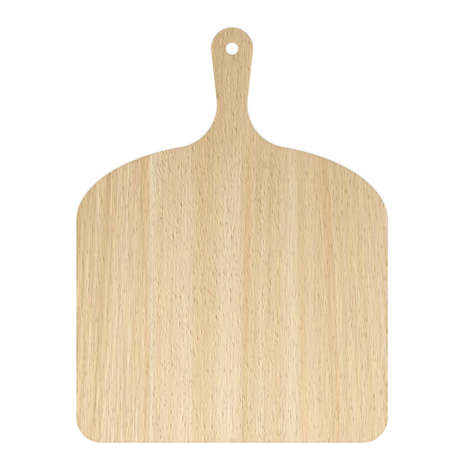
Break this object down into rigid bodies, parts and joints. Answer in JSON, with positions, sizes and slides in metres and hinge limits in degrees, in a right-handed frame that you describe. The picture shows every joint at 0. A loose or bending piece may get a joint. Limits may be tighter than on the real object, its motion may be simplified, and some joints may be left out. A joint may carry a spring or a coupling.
{
  "type": "bread peel",
  "caption": "Small flat wooden bread peel: a broad blade with rounded front corners and arched shoulders, and a short handle with a hanging hole.",
  "frame": {"origin": "centre of the board's length and width, on the face it rests on", "axes": "+Y along the handle towards its tip, +Z out of the loading face, +X to the right when seen from above with the handle pointing away"},
  "size_m": [0.3, 0.4, 0.009],
  "materials": {
    "left_outer_stave": "sanded bare beech, rift sawn, tan with leaning brown streaks",
    "left_inner_stave": "sanded bare beech, flat sawn, pale with short dark flecks",
    "handle_stave": "sanded bare beech, flat sawn, tan and pale bands with short dark flecks",
    "right_inner_stave": "sanded bare beech, pale and fine grained",
    "right_outer_stave": "sanded bare beech, rift sawn, tan with faint leaning streaks",
    "glue": "cured wood glue, sanded flush"
  },
  "bodies": {
    "root": {"left_outer_stave": "left_outer_stave", "left_inner_stave": "left_inner_stave", "handle_stave": "handle_stave", "right_inner_stave": "right_inner_stave", "right_outer_stave": "right_outer_stave", "left_outer_glue_line": "glue", "left_inner_glue_line": "glue", "right_inner_glue_line": "glue", "right_outer_glue_line": "glue"}
  },
  "joints": []
}
